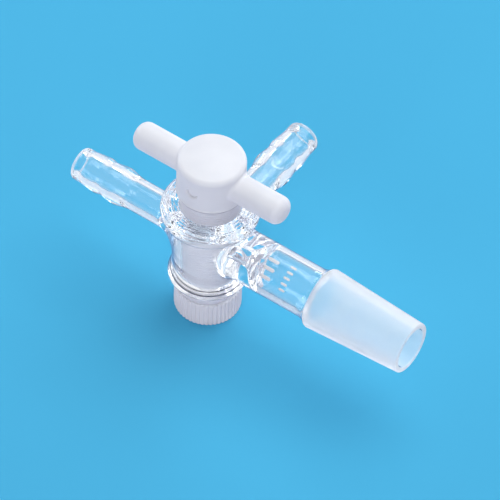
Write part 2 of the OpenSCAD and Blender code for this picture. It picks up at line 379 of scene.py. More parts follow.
def handle_field(x, y, z):
    r = np.hypot(x, y)
    top = HANDLE_HIGH[2] - HUB_DOME + HUB_DOME * (1 - (r / DOME_R) ** 2)
    skirt = SKIRT_OUT * smooth((HUB_Z + SKIRT_TOP - z) / SKIRT_SLOPE)
    hub = meet(r - HUB_R - skirt, z - top, HUB_ROUND)
    hub = meet(hub, HUB_Z - z, HUB_LOW_ROUND)
    over_side = np.hypot(y, z - BAR_Z) - BAR_R + BAR_ROUND
    over_end = np.abs(x) - HANDLE_HIGH[0] + BAR_ROUND
    corner = np.hypot(np.maximum(over_side, 0), np.maximum(over_end, 0))
    bar = corner + np.minimum(np.maximum(over_side, over_end), 0) - BAR_ROUND
    body = join(hub, bar, BAR_FILLET)
    socket = np.maximum(r - SOCKET_R, z - BAR_Z - SOCKET_UP)
    body = np.maximum(body, -socket)
    hole = np.hypot(x, z - BAR_Z) - PIN_HOLE_R
    return meet(body, -hole, PIN_HOLE_ROUND)


handle_points, handle_normals, handle_quads = nets(
    handle_field,
    planes((-22, spacing(0.3)), (22, 1)),
    planes((-8.6, spacing(0.3)), (8.6, 1)),
    planes((HUB_Z - 0.5, spacing(0.25)), (HUB_Z + 1.2, spacing(0.3)), (HANDLE_HIGH[2] + 0.5, 1)),
)
handle = make_piece("t_handle", handle_points, handle_quads, handle_normals)

# ---- turned and threaded pieces ----

PITCH = 1.5  # advance of the tail's thread for one turn, right-handed
THREAD_DEPTH = 0.72
ROOT_SHARE = 0.22  # how much of half a turn of the thread is flat root, and how much rises to the crest
FLANK_SHARE = 0.56
TAIL_R = 4.5
TAIL_GAP = 0.1
TAIL_ROWS = 106
FLAT_Y = TAIL_R - 0.8
PLUG_END_Z = FOOT_Z - 0.5
PLUG_COLUMNS = 144
RUN_IN = 1.1  # length over which the thread begins at the tail's free end
RUN_OUT = 0.7  # length over which it stops below the plug, and the gap from there to the plug
RUN_OUT_GAP = 0.5
RELIEF = 1.2  # height of the groove between the thread and the plug
BLANK_IN = 0.35
END_IN = 0.25  # how far the tail's free end is drawn in, and over what height
END_HEIGHT = 0.8
# round edge at the plug's narrow end: height above it and how far in
NARROW_EDGE = ((0, 0.35), (0.05, 0.16), (0.16, 0.05), (0.35, 0))
# the turned stretch: from above the narrow end to past the rim, its rows, and the pitch and depth of its cut
TURNED_FROM = 0.5
TURNED_PAST = 0.6
TURNED_STEP = 0.14
TURNED_PITCH = 0.62
TURNED_DEPTH = 0.02
COLLAR_FROM = 0.75
COLLAR_STEP = 0.25
COLLAR_GAP = 0.02
STEM_R = 4.8
STEM_CHAMFER = 0.3


def thread_wave(theta, z):
    """1 on the tail's crest and 0 in its root, along a right-handed helix, with flat crests and roots."""
    phase = (z / PITCH - theta / (2 * math.pi)) % 1
    climb = np.abs(phase - 0.5) * 2
    return smooth((climb - ROOT_SHARE) / FLANK_SHARE)


def tail_radius(theta, z):
    fade = smooth((z - PLUG_LOW[2]) / RUN_IN) * smooth((PLUG_END_Z - RUN_OUT_GAP - z) / RUN_OUT)
    root = TAIL_R - THREAD_DEPTH
    thread = root + THREAD_DEPTH * thread_wave(theta, z)
    blank = np.where(z > PLUG_END_Z - RELIEF, root, TAIL_R - BLANK_IN)
    end = smooth((z - PLUG_LOW[2]) / END_HEIGHT)
    return thread * fade + blank * (1 - fade) - END_IN * (1 - end)


def round_angles(columns):
    return np.linspace(0, 2 * math.pi, columns, endpoint=False)


def ring_grid(theta, heights, radius):
    """Points of a wall: one ring of columns for each height, at radius(theta, height)."""
    t, z = np.meshgrid(theta, heights)
    r = radius(t, z)
    return np.stack([r * np.cos(t), r * np.sin(t), z], -1).reshape(-1, 3)


def turned_grid(outline, columns):
    """Points of an outline of (radius, height) turned round the plug's axis, one ring for each of them."""
    theta = round_angles(columns)
    r, z = np.array(outline, float).T
    height = np.repeat(z[:, None], columns, 1)
    return np.stack([np.outer(r, np.cos(theta)), np.outer(r, np.sin(theta)), height], -1)


def wall_faces(columns, rings, start=0):
    """Quads of a wall of rings, facing away from the axis when the rings run upwards."""
    i, j = np.meshgrid(np.arange(rings - 1), np.arange(columns), indexing="ij")
    a = start + i * columns + j
    b = start + i * columns + (j + 1) % columns
    return np.stack([a, b, b + columns, a + columns], -1).reshape(-1, 4).tolist()


def closed_faces(columns, rings):
    """Quads of a wall of rings, and a face over each end."""
    last = (rings - 1) * columns
    return wall_faces(columns, rings) + [
        list(range(last, last + columns)), list(range(columns - 1, -1, -1))
    ]


def build_plug():
    tail_z = np.linspace(PLUG_LOW[2], PLUG_END_Z, TAIL_ROWS)
    tail = ring_grid(round_angles(PLUG_COLUMNS), tail_z, tail_radius)
    tail[:, 1] = np.minimum(tail[:, 1], FLAT_Y)
    outline = [(plug_r(PLUG_END_Z) - inset, PLUG_END_Z + up) for up, inset in NARROW_EDGE]
    turned = np.arange(PLUG_END_Z + TURNED_FROM, RIM_Z + TURNED_PAST, TURNED_STEP)
    cut = TURNED_DEPTH * (1 - np.cos(turned / TURNED_PITCH * 2 * math.pi)) / 2
    outline += zip(plug_r(np.minimum(turned, RIM_Z)) - cut, turned)
    outline += [(PLUG_R_TOP, z) for z in np.arange(RIM_Z + COLLAR_FROM, HUB_Z - 0.05, COLLAR_STEP)]
    stem_top = PLUG_HIGH[2]
    outline += [
        (PLUG_R_TOP - COLLAR_GAP, HUB_Z - COLLAR_GAP), (STEM_R, HUB_Z - COLLAR_GAP),
        (STEM_R, stem_top - STEM_CHAMFER), (STEM_R - STEM_CHAMFER, stem_top),
    ]
    points = np.concatenate([tail, turned_grid(outline, PLUG_COLUMNS).reshape(-1, 3)])
    return make_piece("plug_body", points, closed_faces(PLUG_COLUMNS, TAIL_ROWS + len(outline)))


def cutter(name, low, high, axis, radius):
    """Round bar for cutting a way: along x or y, from low to high, at the height of the arms."""
    count = 48
    theta = round_angles(count)
    u, v = radius * np.cos(theta), radius * np.sin(theta)
    points = []
    for s in (low, high):
        along = np.full(count, s)
        points.append(np.stack([along, u, v + ARM_Z] if axis == "x" else [v, along, u + ARM_Z], 1))
    return make_piece(name, np.concatenate(points), closed_faces(count, 2))


def cut_ways(obj):
    """Cuts the T-shaped way: right through along x, and from the axis to the side hose arm along y."""
    past = 9
    for name, low, axis in (("way_x", -past, "x"), ("way_y", 0, "y")):
        tool = cutter(name, low, past, axis, WAY_R)
        cut = obj.modifiers.new(name, "BOOLEAN")
        cut.operation = "DIFFERENCE"
        cut.solver = "EXACT"
        cut.object = tool
        bpy.context.view_layer.update()
        evaluated = obj.evaluated_get(bpy.context.evaluated_depsgraph_get())
        mesh = bpy.data.meshes.new_from_object(evaluated)
        obj.modifiers.clear()
        old = obj.data
        obj.data = mesh
        bpy.data.meshes.remove(old)
        bpy.data.objects.remove(tool)


def sharpen(obj, degrees):
    """Smooth faces with sharp edges where two faces meet at more than an angle."""
    obj.data.polygons.foreach_set("use_smooth", [True] * len(obj.data.polygons))
    obj.data.set_sharp_from_angle(angle=math.radians(degrees))


plug = build_plug()
cut_ways(plug)
sharpen(plug, 40)

# ---- washer and sealing ring ----

HOLE_R = TAIL_R + 0.05
WASHER_Z, RING_Z = WASHER_LOW[2], RING_LOW[2]
WASHER_R = WASHER_HIGH[0]
WASHER_HOLE_R = HOLE_R + 0.02
WASHER_CHAMFER = 0.4
WASHER_ROUND = 0.12
KEY_GAP = 0.05
RING_SECTION_R = 0.7
RING_COLUMNS = 128


def turned_ring(name, outline, y_limit=None):
    """Ring turned round the plug's axis from a closed outline of (radius, height).

    y_limit is (a radius, a height in y): what lies within the radius is flattened there.
    """
    points = turned_grid(outline, RING_COLUMNS)
    if y_limit is not None:
        hole = np.array(outline)[:, 0] < y_limit[0]
        points[hole, :, 1] = np.minimum(points[hole, :, 1], y_limit[1])
    n = len(outline)
    faces = []
    for i in range(n):
        this, following = i * RING_COLUMNS, (i + 1) % n * RING_COLUMNS
        for j in range(RING_COLUMNS):
            m = (j + 1) % RING_COLUMNS
            faces.append([this + j, this + m, following + m, following + j])
    return make_piece(name, points.reshape(-1, 3), faces)


def rounded(corners, radius, steps=4):
    """Closed outline with its corners rounded."""
    corners = np.array(corners, float)
    out = []
    for i, p in enumerate(corners):
        a, b = corners[i - 1] - p, corners[(i + 1) % len(corners)] - p
        a, b = a / np.linalg.norm(a), b / np.linalg.norm(b)
        half = math.acos(np.clip(a @ b, -1, 1)) / 2
        reach = radius / math.tan(half)
        centre = p + (a + b) / np.linalg.norm(a + b) * radius / math.sin(half)
        start, end = p + a * reach - centre, p + b * reach - centre
        total = math.acos(np.clip(start @ end / radius**2, -1, 1))
        for t in np.linspace(0, 1, steps):
            w = np.array([math.sin((1 - t) * total), math.sin(t * total)]) / math.sin(total)
            out.append(centre + w[0] * start + w[1] * end)
    return out


def ring_outline(count=32):
    """The ring's round section, squeezed flat above and below."""
    middle = RING_HIGH[0] - RING_SECTION_R
    half = (RING_HIGH[2] - RING_Z) / 2
    out = []
    for i in range(count):
        t = 2 * math.pi * i / count
        rise = np.clip(RING_SECTION_R * math.sin(t), -half, half)
        out.append((middle + RING_SECTION_R * math.cos(t), RING_Z + half + rise))
    return out


washer_outline = rounded(
    [
        (WASHER_HOLE_R, WASHER_Z),
        (WASHER_R - WASHER_CHAMFER, WASHER_Z), (WASHER_R, WASHER_Z + WASHER_CHAMFER),
        (WASHER_R, RING_Z - WASHER_CHAMFER), (WASHER_R - WASHER_CHAMFER, RING_Z),
        (WASHER_HOLE_R, RING_Z),
    ],
    WASHER_ROUND,
)
washer = turned_ring("washer_disc", washer_outline, (HOLE_R + 0.3, FLAT_Y + KEY_GAP))
sharpen(washer, 50)
ring = turned_ring("seal_ring", ring_outline())

# ---- ribbed nut ----

RIBS = 48
NUT_R = 7.9
RIB_DEPTH = 0.35
RIB_ROUND = 0.05  # how far a rib's corners are rounded in, and over what width
RIB_ROUND_WIDTH = 0.16
PER_RIB = 12
NUT_CHAMFER = 0.25
GROOVE_INSET = 0.35  # how much of the chamfer the grooves follow
NUT_ROWS = 72
MOUTH_FADE = 0.7  # length over which the thread ends at each face of the nut
# heights on the nut's wall, and how far in the wall is there
NUT_EDGE = ((0, NUT_CHAMFER), (0.06, 0.12), (0.14, 0.05), (NUT_CHAMFER + 0.03, 0))
NUT_LEVELS = (0.8, 1.8, 3.4, 5.0, NUT_TOP - 0.8)


def rib_outline(theta):
    """Radius of the ribbed wall: round grooves between ribs whose tops lie on the nut's full radius."""
    groove_r = math.pi * 2 * NUT_R / RIBS / 4
    arc = (theta * RIBS / (2 * math.pi) + 0.5) % 1 - 0.5
    across = np.abs(arc) * 2 * math.pi * NUT_R / RIBS
    centre = NUT_R - RIB_DEPTH + groove_r
    dip = centre - np.sqrt(np.maximum(groove_r**2 - across**2, 0))
    half = math.sqrt(groove_r**2 - (centre - NUT_R) ** 2)
    crest = NUT_R - RIB_ROUND * (1 - smooth((across - half) / RIB_ROUND_WIDTH))
    return np.where(across < half, np.minimum(dip, NUT_R), crest)


def nut_hole_radius(theta, z):
    ends = smooth(z / MOUTH_FADE) * smooth((NUT_TOP - z) / MOUTH_FADE)
    thread = HOLE_R - (THREAD_DEPTH - TAIL_GAP) * (1 - smooth(thread_wave(theta, z) / 0.5))
    return thread * ends + (HOLE_R + TAIL_GAP) * (1 - ends)


def build_nut():
    columns = RIBS * PER_RIB
    theta = round_angles(columns)
    outline = rib_outline(theta)
    levels = list(NUT_EDGE) + [(z, 0) for z in NUT_LEVELS]
    levels += [(NUT_TOP - z, inset) for z, inset in reversed(NUT_EDGE)]
    rings = []
    for z, inset in levels:
        r = np.minimum(outline, NUT_R - inset)
        r = r - GROOVE_INSET * inset * (outline >= NUT_R - inset)
        rings.append(np.stack([r * np.cos(theta), r * np.sin(theta), np.full(columns, z)], 1))
    faces = wall_faces(columns, len(rings))
    # the hole's wall faces the axis and has a quarter of the columns
    few = columns // 4
    inner = ring_grid(theta[::4], np.linspace(0, NUT_TOP, NUT_ROWS), nut_hole_radius)
    base = columns * len(rings)
    faces += [f[::-1] for f in wall_faces(few, NUT_ROWS, base)]
    top, top_inner = (len(rings) - 1) * columns, base + (NUT_ROWS - 1) * few
    for i in range(few):
        k = (i + 1) % few
        outer = [(4 * i + n) % columns for n in range(5)]
        faces.append([top_inner + k, top_inner + i] + [top + n for n in outer])
        faces.append([base + i, base + k] + outer[::-1])
    return make_piece("ribbed_nut", np.concatenate(rings + [inner]), faces)


nut = build_nut()
sharpen(nut, 35)

# ---- cross pin ----

PIN_IN = 0.25  # how much deeper than the solid's end each end of the pin lies
PIN_EDGE = ((0, 1.02), (0.03, 1.15), (0.1, 1.24), (0.3, 1.27))  # distance from the end, radius there


def build_pin():
    count = 40
    theta = round_angles(count)
    end = PIN_HIGH[1] - PIN_IN
    stations = [(at - end, r) for at, r in PIN_EDGE] + [(end - at, r) for at, r in reversed(PIN_EDGE)]
    points = [
        np.stack([r * np.sin(theta), np.full(count, y), BAR_Z + r * np.cos(theta)], 1) for y, r in stations
    ]
    return make_piece("cross_pin", np.concatenate(points), closed_faces(count, len(stations)))


pin = build_pin()
sharpen(pin, 60)

# ---- fired white marks on the clear tube: two rows of plain dashes ----

# start and end along the tube, angles round it in degrees, width
MARK_ROWS = (
    (17.6, 20.6, (35, 55, 75), 0.9),
    (23.2, 24.9, (28, 41.5, 55, 68.5, 82), 0.6),
)
MARK_LIFT = 0.07
MARK_EDGE_LIFT = 0.03
MARK_SINK = 0.02
MARK_STEP = 0.2
MARK_ACROSS = 4
MARK_END_SHARE = 0.06  # least share of the squared half width left at a dash's very end


def dash_grid(x0, x1, arc, width):
    """Points of one dash laid flat, (along the tube, round it): rows across, from one end to the other."""
    length = x1 - x0
    steps = max(6, int(length / MARK_STEP))
    grid = []
    for i in range(steps + 1):
        t = i / steps
        near = min(t, 1 - t) * length
        blunt = max(MARK_END_SHARE, 1 - max(0, 1 - near / (width / 2)) ** 2)
        half = width / 2 * math.sqrt(blunt)
        grid += [(x0 + t * length, arc + (2 * j / MARK_ACROSS - 1) * half) for j in range(MARK_ACROSS + 1)]
    return steps, grid


def build_marks():
    points, faces = [], []
    row = MARK_ACROSS + 1
    for x0, x1, angles, width in MARK_ROWS:
        for angle_at in angles:
            steps, grid = dash_grid(x0, x1, angle_at * (TUBE_R * math.pi / 180), width)
            low = len(points)
            top = low + len(grid)
            for upper in (False, True):
                for n, (x, arc) in enumerate(grid):
                    edge = n % row in (0, MARK_ACROSS) or n < row or n >= len(grid) - row
                    lift = (MARK_EDGE_LIFT if edge else MARK_LIFT) if upper else -MARK_SINK
                    angle = arc / TUBE_R
                    r = TUBE_R + lift
                    points.append((x, -r * math.cos(angle), ARM_Z + r * math.sin(angle)))
            for i in range(steps):
                for j in range(MARK_ACROSS):
                    a = i * row + j
                    faces.append((top + a, top + a + row, top + a + row + 1, top + a + 1))
                    faces.append((low + a, low + a + 1, low + a + row + 1, low + a + row))
            rim = (
                [j for j in range(MARK_ACROSS)]
                + [i * row + MARK_ACROSS for i in range(steps)]
                + [steps * row + j for j in range(MARK_ACROSS, 0, -1)]
                + [i * row for i in range(steps, 0, -1)]
            )
            for a, b in zip(rim, rim[1:] + rim[:1]):
                faces.append((low + b, low + a, top + a, top + b))
    return make_piece("enamel_marks", points, faces)


marks = build_marks()

# ---- materials ----

GLASS_IOR = 1.474
SILICONE_IOR = 1.41
# how much of a lamp's light passes through clear glass, the thick rim, and ground or milky glass
THROUGH_CLEAR = (0.78, 0.8, 0.82, 1)
THROUGH_RIM = (0.95, 0.96, 0.97, 1)
THROUGH_MILKY = (0.68, 0.7, 0.73, 1)
FACE_TINT = (0.985, 0.992, 1, 1)
# painted shade: the colour the glass darkens to where it is seen edge-on
EDGE_SHADE = (0.1, 0.18, 0.34, 1)
# painted shade: a dark band on the hub's lower edge, where the hub overhangs the collar
HUB_EDGE_SHADE = (0.36, 0.35, 0.43, 1)
SHADE_BAND_HEIGHT = 0.72  # of the band of painted shade on the hub's lower edge
SKIN_DEPTH = (1, 0.9, 0.85)  # how far red, green and blue light spread inside the white plastics
# where the glass changes its look: the rim's turned band, a hose arm's melted end, and the ground taper's
# start, thickness of skin and far end
RIM_BAND = 3.6
RIM_INSIDE_R = 7
RIM_OUTSIDE_R = BEAD_R + 0.5
LIP_BAND = 0.6
GROUND_BEFORE = 0.15
GROUND_SKIN = 0.3
GROUND_END = 0.32


def new_material(name):
    material = bpy.data.materials.new(name)
    material.use_nodes = True
    tree = material.node_tree
    tree.nodes.clear()
    out = tree.nodes.new("ShaderNodeOutputMaterial")
    shader = tree.nodes.new("ShaderNodeBsdfPrincipled")
    tree.links.new(shader.outputs["BSDF"], out.inputs["Surface"])
    return material, tree, shader, out


def object_coords(tree):
    return tree.nodes.new("ShaderNodeTexCoord").outputs["Object"]


def feed(tree, socket, value):
    """Gives a socket a value, or links it to an output."""
    if isinstance(value, (int, float, tuple)):
        socket.default_value = value
    else:
        tree.links.new(value, socket)


def pick(tree, factor, a, b):
    """Colour a where the factor is 0 and b where it is 1. Each may be a colour or an output."""
    node = tree.nodes.new("ShaderNodeMix")
    node.data_type = "RGBA"
    feed(tree, node.inputs["A"], a)
    feed(tree, node.inputs["B"], b)
    tree.links.new(factor, node.inputs["Factor"])
    return node.outputs["Result"]


def math_node(tree, operation, a, b):
    """The result of an operation on two values. Each may be a number or an output."""
    node = tree.nodes.new("ShaderNodeMath")
    node.operation = operation
    feed(tree, node.inputs[0], a)
    feed(tree, node.inputs[1], b)
    return node.outputs[0]


def ramp(tree, value, start, end):
    """0 up to start and 1 beyond end, smoothly."""
    node = tree.nodes.new("ShaderNodeMapRange")
    node.interpolation_type = "SMOOTHSTEP"
    node.inputs["From Min"].default_value = start
    node.inputs["From Max"].default_value = end
    tree.links.new(value, node.inputs["Value"])
    return node.outputs["Result"]


def spread(tree, value, low, high):
    """Spreads the middle of a texture's values, 0.3 to 0.7, from low to high."""
    node = tree.nodes.new("ShaderNodeMapRange")
    node.inputs["From Min"].default_value = 0.3
    node.inputs["From Max"].default_value = 0.7
    node.inputs["To Min"].default_value = low
    node.inputs["To Max"].default_value = high
    tree.links.new(value, node.inputs["Value"])
    return node.outputs["Result"]


def noise(tree, coords, size, detail=3.0, stretch=(1, 1, 1)):
    """Noise whose features are about size mm, or longer along an axis whose stretch is below 1."""
    mapping = tree.nodes.new("ShaderNodeMapping")
    mapping.inputs["Scale"].default_value = stretch
    tree.links.new(coords, mapping.inputs["Vector"])
    texture = tree.nodes.new("ShaderNodeTexNoise")
    texture.inputs["Scale"].default_value = 1 / (size * MM)
    texture.inputs["Detail"].default_value = detail
    tree.links.new(mapping.outputs["Vector"], texture.inputs["Vector"])
    return texture.outputs["Fac"]


def wave(tree, coords, period, wander):
    """Waves period mm apart that wander a little."""
    texture = tree.nodes.new("ShaderNodeTexWave")
    texture.inputs["Scale"].default_value = 2 * math.pi / (20 * period * MM)
    texture.inputs["Distortion"].default_value = wander
    texture.inputs["Detail"].default_value = 2
    texture.inputs["Detail Scale"].default_value = 0.4
    tree.links.new(coords, texture.inputs["Vector"])
    return texture


def lines(tree, coords, axis, period, wander):
    """Lines across an axis."""
    texture = wave(tree, coords, period, wander)
    texture.bands_direction = axis
    return texture.outputs["Fac"]


def rings(tree, coords, period, wander):
    """Rings round the plug's axis."""
    texture = wave(tree, coords, period, wander)
    texture.wave_type = "RINGS"
    texture.rings_direction = "Z"
    return texture.outputs["Fac"]


def clouded(tree, value, a, b):
    """Colour that drifts from a to b with a texture's value."""
    return pick(tree, spread(tree, value, 0, 1), (*a, 1), (*b, 1))


def raise_surface(tree, shader, layers):
    """Bumps from (height value, height in mm) layers, one on top of another."""
    normal = None
    for value, height in layers:
        bump = tree.nodes.new("ShaderNodeBump")
        bump.inputs["Strength"].default_value = 1
        bump.inputs["Distance"].default_value = height * MM
        tree.links.new(value, bump.inputs["Height"])
        if normal is not None:
            tree.links.new(normal, bump.inputs["Normal"])
        normal = bump.outputs["Normal"]
    tree.links.new(normal, shader.inputs["Normal"])


def light_inside(shader, weight, depth):
    """Lets light spread under the skin of a white plastic, depth mm deep."""
    shader.inputs["Subsurface Weight"].default_value = weight
    shader.inputs["Subsurface Radius"].default_value = SKIN_DEPTH
    shader.inputs["Subsurface Scale"].default_value = depth * MM


def lamps_through(tree, shader, out, tint):
    """Lets lamp light through, dimmed a little, so that what is inside the glass is lit."""
    path = tree.nodes.new("ShaderNodeLightPath")
    clear = tree.nodes.new("ShaderNodeBsdfTransparent")
    clear.inputs["Color"].default_value = tint
    mix = tree.nodes.new("ShaderNodeMixShader")
    tree.links.new(path.outputs["Is Shadow Ray"], mix.inputs["Fac"])
    tree.links.new(shader.outputs["BSDF"], mix.inputs[1])
    tree.links.new(clear.outputs["BSDF"], mix.inputs[2])
    tree.links.new(mix.outputs["Shader"], out.inputs["Surface"])


def glass_material(name, through, turned=False):
    """Clear blown glass: smooth, with the slow waviness and faint cords of lampwork.

    The rim, which was turned against a tool, also has fine rings.
    """
    material, tree, shader, out = new_material(name)
    coords = object_coords(tree)
    # painted shade: the glass darkens towards its edges where it is seen edge-on
    facing = tree.nodes.new("ShaderNodeLayerWeight")
    edge = ramp(tree, facing.outputs["Facing"], 0.6, 0.82)
    tree.links.new(pick(tree, edge, FACE_TINT, EDGE_SHADE), shader.inputs["Base Color"])
    shader.inputs["IOR"].default_value = GLASS_IOR
    shader.inputs["Transmission Weight"].default_value = 1
    broad = noise(tree, coords, 7.0, 1.0)
    cords = noise(tree, coords, 1.6, 2.0, (0.25, 0.25, 1))
    tree.links.new(spread(tree, broad, 0, 0.012), shader.inputs["Roughness"])
    layers = [(broad, 0.05), (cords, 0.006)]
    if turned:
        layers.append((rings(tree, coords, 0.9, 3.0), 0.06))
    raise_surface(tree, shader, layers)
    lamps_through(tree, shader, out, through)
    return material


def lip_material():
    """The mouth of a hose arm, melted round in a flame; its milky white is a painted highlight."""
    material, tree, shader, out = new_material("melted_lip")
    coords = object_coords(tree)
    cloud = noise(tree, coords, 1.2, 3.0)
    # painted highlight: a milky white base, so the mouth shows as a white ring
    color = clouded(tree, cloud, (0.9, 0.94, 0.98), (0.97, 0.98, 1))
    tree.links.new(color, shader.inputs["Base Color"])
    tree.links.new(spread(tree, cloud, 0.05, 0.16), shader.inputs["Roughness"])
    shader.inputs["IOR"].default_value = GLASS_IOR
    shader.inputs["Transmission Weight"].default_value = 0.6
    raise_surface(tree, shader, ((cloud, 0.02),))
    lamps_through(tree, shader, out, THROUGH_MILKY)
    return material


def ground_material():
    """Ground glass: a dense fine grain, with faint rings left by the turning grinder."""
    material, tree, shader, out = new_material("ground_glass")
    coords = object_coords(tree)
    grain = noise(tree, coords, 0.16, 4.0)
    clouds = noise(tree, coords, 3.0, 3.0)
    cuts = lines(tree, coords, "X", 0.45, 1.5)
    color = clouded(tree, clouds, (0.93, 0.95, 0.98), (0.99, 0.995, 1))
    tree.links.new(color, shader.inputs["Base Color"])
    tree.links.new(spread(tree, grain, 0.42, 0.6), shader.inputs["Roughness"])
    shader.inputs["IOR"].default_value = GLASS_IOR
    shader.inputs["Transmission Weight"].default_value = 0.7
    raise_surface(tree, shader, ((cuts, 0.003), (grain, 0.02)))
    lamps_through(tree, shader, out, THROUGH_MILKY)
    return material


def turned_material():
    """White fluoropolymer as it leaves the lathe: waxy, with fine lines round the axis."""
    material, tree, shader, _ = new_material("turned_fluoropolymer")
    coords = object_coords(tree)
    clouds = noise(tree, coords, 4.0, 4.0)
    cuts = lines(tree, coords, "Z", 0.3, 0.6)
    coarse = lines(tree, coords, "Z", 0.74, 2.2)
    grain = noise(tree, coords, 0.2, 3.0)
    color = clouded(tree, clouds, (0.8, 0.8, 0.87), (0.86, 0.86, 0.91))
    tree.links.new(color, shader.inputs["Base Color"])
    tree.links.new(spread(tree, clouds, 0.34, 0.48), shader.inputs["Roughness"])
    light_inside(shader, 0.25, 0.7)
    raise_surface(tree, shader, ((coarse, 0.09), (cuts, 0.02), (grain, 0.003)))
    return material


def moulded_material(name, low, high, roughness, grain_height, shaded_below=None):
    """Moulded white plastic: a faint spark-worn grain, soft flow clouds and uneven gloss.

    It may have a band of painted shade along its lower edge, below a height in mm.
    """
    material, tree, shader, _ = new_material(name)
    coords = object_coords(tree)
    clouds = noise(tree, coords, 6.0, 4.0)
    gloss = noise(tree, coords, 1.8, 3.0)
    grain = noise(tree, coords, 0.24, 3.0)
    color = clouded(tree, clouds, low, high)
    # painted shade: the colour turns dark below the given height, along the lower edge
    if shaded_below is not None:
        place = tree.nodes.new("ShaderNodeSeparateXYZ")
        tree.links.new(coords, place.inputs["Vector"])
        above = ramp(tree, place.outputs["Z"], (shaded_below - 0.15) * MM, (shaded_below + 0.1) * MM)
        color = pick(tree, above, HUB_EDGE_SHADE, color)
    tree.links.new(color, shader.inputs["Base Color"])
    tree.links.new(spread(tree, gloss, roughness - 0.05, roughness + 0.07), shader.inputs["Roughness"])
    light_inside(shader, 0.15, 0.6)
    raise_surface(tree, shader, ((clouds, 0.01), (grain, grain_height)))
    return material


def silicone_material():
    """Milky grey silicone with a dull skin and specks of dust."""
    material, tree, shader, _ = new_material("grey_silicone")
    coords = object_coords(tree)
    clouds = noise(tree, coords, 1.5, 3.0)
    dust = noise(tree, coords, 0.15, 4.0)
    color = clouded(tree, clouds, (0.62, 0.6, 0.74), (0.72, 0.7, 0.82))
    tree.links.new(color, shader.inputs["Base Color"])
    tree.links.new(spread(tree, dust, 0.4, 0.62), shader.inputs["Roughness"])
    shader.inputs["Transmission Weight"].default_value = 0.25
    shader.inputs["IOR"].default_value = SILICONE_IOR
    raise_surface(tree, shader, ((dust, 0.006),))
    return material


def enamel_material():
    """Fired white enamel: glossy, a little uneven, with pinholes."""
    material, tree, shader, _ = new_material("fired_enamel")
    coords = object_coords(tree)
    uneven = noise(tree, coords, 0.5, 3.0)
    pits = noise(tree, coords, 0.12, 4.0)
    color = clouded(tree, uneven, (0.9, 0.905, 0.93), (0.96, 0.96, 0.97))
    tree.links.new(color, shader.inputs["Base Color"])
    tree.links.new(spread(tree, pits, 0.22, 0.45), shader.inputs["Roughness"])
    raise_surface(tree, shader, ((uneven, 0.008), (pits, 0.002)))
    return material


def dress_glass():
    """Gives each face of the glass its look, by where it lies."""
    looks = (
        glass_material("clear_glass", THROUGH_CLEAR),
        ground_material(),
        glass_material("turned_glass", THROUGH_RIM, turned=True),
        lip_material(),
    )
    for look in looks:
        glass.data.materials.append(look)
    x, y, z = glass_points[glass_quads].mean(1).T
    from_plug = np.hypot(x, y)
    rim = (from_plug < RIM_OUTSIDE_R) & (z > RIM_Z - RIM_BAND) & (from_plug > RIM_INSIDE_R)
    lip = (x < LIP_BAND - LEFT_TIP) | (y > SIDE_TIP - LIP_BAND)
    from_joint_axis = np.hypot(y, z - ARM_Z)
    outside = (from_joint_axis > joint_cone_r(x) - GROUND_SKIN) | (x > JOINT_TIP - GROUND_END)
    ground = (x > JOINT_AT - GROUND_BEFORE) & outside
    slots = np.select([ground, lip, rim], [1, 3, 2], 0)  # places in looks
    glass.data.polygons.foreach_set("material_index", slots.astype(np.int32))


dress_glass()
white_plug = turned_material()
white_handle = moulded_material(
    "moulded_handle", (0.86, 0.865, 0.9), (0.9, 0.905, 0.935), 0.36, 0.005, HUB_Z + SHADE_BAND_HEIGHT
)
white_nut = moulded_material("moulded_nut", (0.84, 0.845, 0.885), (0.88, 0.885, 0.92), 0.42, 0.007)

for piece, material in (
    (plug, white_plug), (handle, white_handle), (pin, white_handle), (washer, white_plug),
    (nut, white_nut), (ring, silicone_material()), (marks, enamel_material()),
):
    piece.data.materials.append(material)

for piece, body, node, slot in (
    (glass, "glass", "glass_body", "clear_glass"),
    (plug, "plug", "plug", "plug_plastic"),
    (handle, "plug", "handle", "handle_plastic"),
    (pin, "plug", "handle_pin", "handle_plastic"),
    (ring, "washers", "o_ring", "ring_rubber"),
    (washer, "washers", "washer", "plug_plastic"),
    (nut, "nut", "nut", "nut_plastic"),
):
    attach(piece, body)
    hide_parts(node)
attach(marks, "glass")

# ---- stage: floor and world ----

FLOOR = 3.0  # half the floor's width, in metres
SKY_BLUE = (0.085, 0.5, 0.8, 1)  # the plain ground, as it is seen
PALE = (0.58, 0.6, 0.74, 1)  # the ground and the room as they light matt surfaces
SHADE = (0.86, 0.86, 1, 1)
# painted shade: in the glass's reflections, the ground near the part is a darker blue than the floor
DEEP_BLUE = (0.04, 0.3, 0.58, 1)  # the ground near the part and the pale room beyond, as glass mirrors them
HORIZON = (0.8, 0.86, 0.95, 1)
# painted light: seen from inside the glass, the ground near the part is near white and the ground beyond is
# a white softbox
NEAR_WHITE = (0.7, 0.85, 0.97, 1)  # the same as they light the inside of the glass
SOFTBOX = (0.97, 0.98, 1, 1)
UNDER_PART = (0.03, 0.08)  # from the ground near the part to the ground beyond, in metres
FAR_GROUND = (0.5, 1.2)  # from the ground to the softbox at its edge, seen bent by the glass
CEILING = (0.3, 0.5)  # from the room's walls to its ceiling, as the height of a direction
LOW_WALL = (0.05, 0.2)
ROOM_LEVEL = 1.0  # strength of the world where it is seen, and where it lights a matt surface
MATT_LEVEL = 0.26


def light_history(tree):
    """Three outputs, each 0 or 1, for a ray that arrives.

    They say whether it was seen by the camera, through clear glass too; whether a matt surface sent it back;
    and whether it was passed on inside the glass.
    """
    path = tree.nodes.new("ShaderNodeLightPath")
    matt = math_node(tree, "MINIMUM", path.outputs["Diffuse Depth"], 1)
    inner = math_node(tree, "MINIMUM", path.outputs["Transmission Depth"], 1)
    returned = math_node(tree, "ADD", path.outputs["Diffuse Depth"], path.outputs["Glossy Depth"])
    direct = math_node(tree, "LESS_THAN", returned, 0.5)
    return direct, matt, inner


